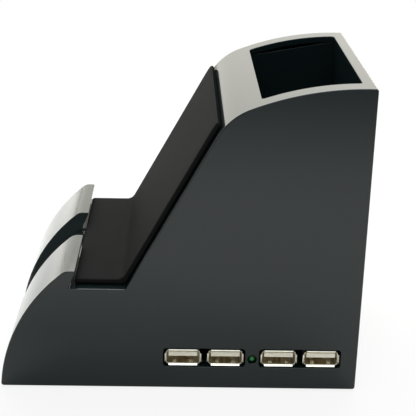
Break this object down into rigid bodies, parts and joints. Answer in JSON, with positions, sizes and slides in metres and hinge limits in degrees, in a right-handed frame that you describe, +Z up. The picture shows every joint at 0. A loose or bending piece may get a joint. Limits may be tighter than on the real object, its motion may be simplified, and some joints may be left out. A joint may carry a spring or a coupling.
{
  "type": "charging pen holder",
  "caption": "Desk pen holder with an open cup, a sloping padded phone cradle with a cable channel in its front lip, and a charging hub with sockets in its side.",
  "frame": {"origin": "on the desk, under the middle of the holder's bounding box", "axes": "+Z up; the front lip with the cable channel faces -Y; the face with the charging sockets faces +X; the width runs along X and the depth along Y"},
  "size_m": [0.098, 0.1379, 0.122],
  "materials": {
    "gloss_black_plastic": "piano black, highly polished",
    "satin_black_plastic": "satin black",
    "black_rubber": "matte black",
    "nickel_plated_steel": "bright nickel plate",
    "zinc_plated_steel": "zinc plate",
    "gilt_contact": "thin gilding",
    "cream_insulator": "moulded cream",
    "green_lens": "clear green tint",
    "green_circuit_board": "green solder resist",
    "black_component": "moulded black"
  },
  "bodies": {
    "root": {"housing": "gloss_black_plastic", "pen_cup": "gloss_black_plastic", "bottom_cover": "satin_black_plastic", "cradle_mat": "black_rubber", "foot_front_left": "black_rubber", "foot_front_right": "black_rubber", "foot_rear_left": "black_rubber", "foot_rear_right": "black_rubber", "socket_1_shell": "nickel_plated_steel", "socket_2_shell": "nickel_plated_steel", "socket_3_shell": "nickel_plated_steel", "socket_4_shell": "nickel_plated_steel", "inlet_shell": "nickel_plated_steel", "cover_screw_1": "zinc_plated_steel", "cover_screw_2": "zinc_plated_steel", "cover_screw_3": "zinc_plated_steel", "cover_screw_4": "zinc_plated_steel", "cup_screw_1": "zinc_plated_steel", "cup_screw_2": "zinc_plated_steel", "board_screw_1": "zinc_plated_steel", "board_screw_2": "zinc_plated_steel", "board_screw_3": "zinc_plated_steel", "board_screw_4": "zinc_plated_steel", "crystal": "zinc_plated_steel", "light_lead_1": "zinc_plated_steel", "light_lead_2": "zinc_plated_steel", "socket_1_contact_1": "gilt_contact", "socket_1_contact_2": "gilt_contact", "socket_1_contact_3": "gilt_contact", "socket_1_contact_4": "gilt_contact", "socket_2_contact_1": "gilt_contact", "socket_2_contact_2": "gilt_contact", "socket_2_contact_3": "gilt_contact", "socket_2_contact_4": "gilt_contact", "socket_3_contact_1": "gilt_contact", "socket_3_contact_2": "gilt_contact", "socket_3_contact_3": "gilt_contact", "socket_3_contact_4": "gilt_contact", "socket_4_contact_1": "gilt_contact", "socket_4_contact_2": "gilt_contact", "socket_4_contact_3": "gilt_contact", "socket_4_contact_4": "gilt_contact", "inlet_contact_1": "gilt_contact", "inlet_contact_2": "gilt_contact", "inlet_contact_3": "gilt_contact", "inlet_contact_4": "gilt_contact", "inlet_contact_5": "gilt_contact", "socket_1_tongue": "cream_insulator", "socket_2_tongue": "cream_insulator", "socket_3_tongue": "cream_insulator", "socket_4_tongue": "cream_insulator", "power_light": "green_lens", "hub_board": "green_circuit_board", "hub_chip": "black_component", "capacitor_1": "black_component", "capacitor_2": "black_component", "inlet_tongue": "black_component"}
  },
  "joints": []
}
